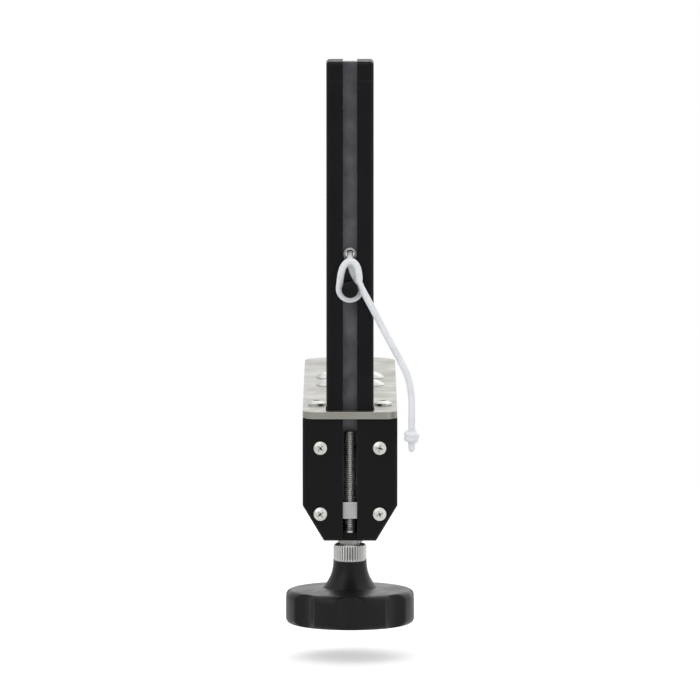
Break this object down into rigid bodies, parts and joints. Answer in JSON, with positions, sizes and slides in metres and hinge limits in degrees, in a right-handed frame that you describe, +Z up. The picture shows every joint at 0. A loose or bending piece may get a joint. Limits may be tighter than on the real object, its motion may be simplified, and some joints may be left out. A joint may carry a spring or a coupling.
{
  "type": "table tennis net clamp",
  "caption": "Screw clamp for the side edge of a table tennis board, with an arm that carries a slotted, height-adjustable net post and its net cord.",
  "frame": {"origin": "top corner of the table board's side edge, in the clamp's centre plane: x = 0 is the centre plane, y = 0 the board's edge, z = 0 the board's playing surface", "axes": "+Z up along the post, +Y over the board towards the table's middle, +X along the table's side edge, to the right of someone who faces the table"},
  "size_m": [0.0579, 0.2238, 0.2625],
  "materials": {
    "zinc_plate": "zinc plated, satin",
    "black_steel": "black powder coat",
    "rubber": "matt black rubber",
    "plated_steel": "bright zinc plated",
    "spring_steel": "oiled spring steel",
    "black_plastic": "moulded black, fine grain",
    "black_bar": "black semi-matt coat",
    "grey_core": "dull grey plated strip",
    "white_cord": "white braided cord"
  },
  "bodies": {
    "clamp": {"arm_plate": "zinc_plate", "upper_pad": "rubber", "jaw_frame": "black_steel", "edge_pad": "rubber", "screw_bush": "plated_steel", "frame_rivets": "plated_steel", "post_socket": "black_plastic", "rail_left": "black_plastic", "rail_right": "black_plastic", "rail_screws": "plated_steel", "socket_bolts": "plated_steel", "spindle_washer": "plated_steel"},
    "height_spindle": {"height_spindle": "plated_steel", "thumb_wheel": "plated_steel", "spindle_clip": "spring_steel"},
    "post": {"bar_left": "black_bar", "bar_right": "black_bar", "post_core": "grey_core", "post_pins": "plated_steel", "lift_nut": "plated_steel", "nut_screws": "plated_steel", "top_cap": "black_plastic", "cord_peg": "black_plastic", "cord_eyelet": "plated_steel", "cord_run": "white_cord", "cord_tail": "white_cord", "top_knot": "white_cord", "tail_knot": "white_cord"},
    "pressure_pad": {"pad_cup": "plated_steel", "pad_facing": "rubber", "pad_ring": "spring_steel"},
    "clamp_screw": {"clamp_screw": "plated_steel", "knob": "black_plastic", "knob_cap": "black_plastic", "knob_pin": "plated_steel"}
  },
  "joints": [
    {"name": "spindle_turn", "type": "hinge", "parent": "clamp", "child": "height_spindle", "pos_m": [0, -0.149, -0.05], "axis": [0, 0, 1], "range_deg": [-3600, 1800]},
    {"name": "post_height", "type": "slide", "parent": "clamp", "child": "post", "axis": [0, 0, 1], "range_m": [-0.004, 0.008]},
    {"name": "pad_slide", "type": "slide", "parent": "clamp", "child": "pressure_pad", "axis": [0, 0, 1], "range_m": [-0.014, 0.0105]},
    {"name": "screw_turn", "type": "hinge", "parent": "pressure_pad", "child": "clamp_screw", "pos_m": [0, 0.032, -0.09], "axis": [0, 0, 1], "range_deg": [-2880, 2160]}
  ],
  "couplings": [
    {"joint": "spindle_turn", "follows": "post_height", "rad_per_m": -7854},
    {"joint": "pad_slide", "follows": "screw_turn", "m_per_rad": 0.00027852}
  ]
}
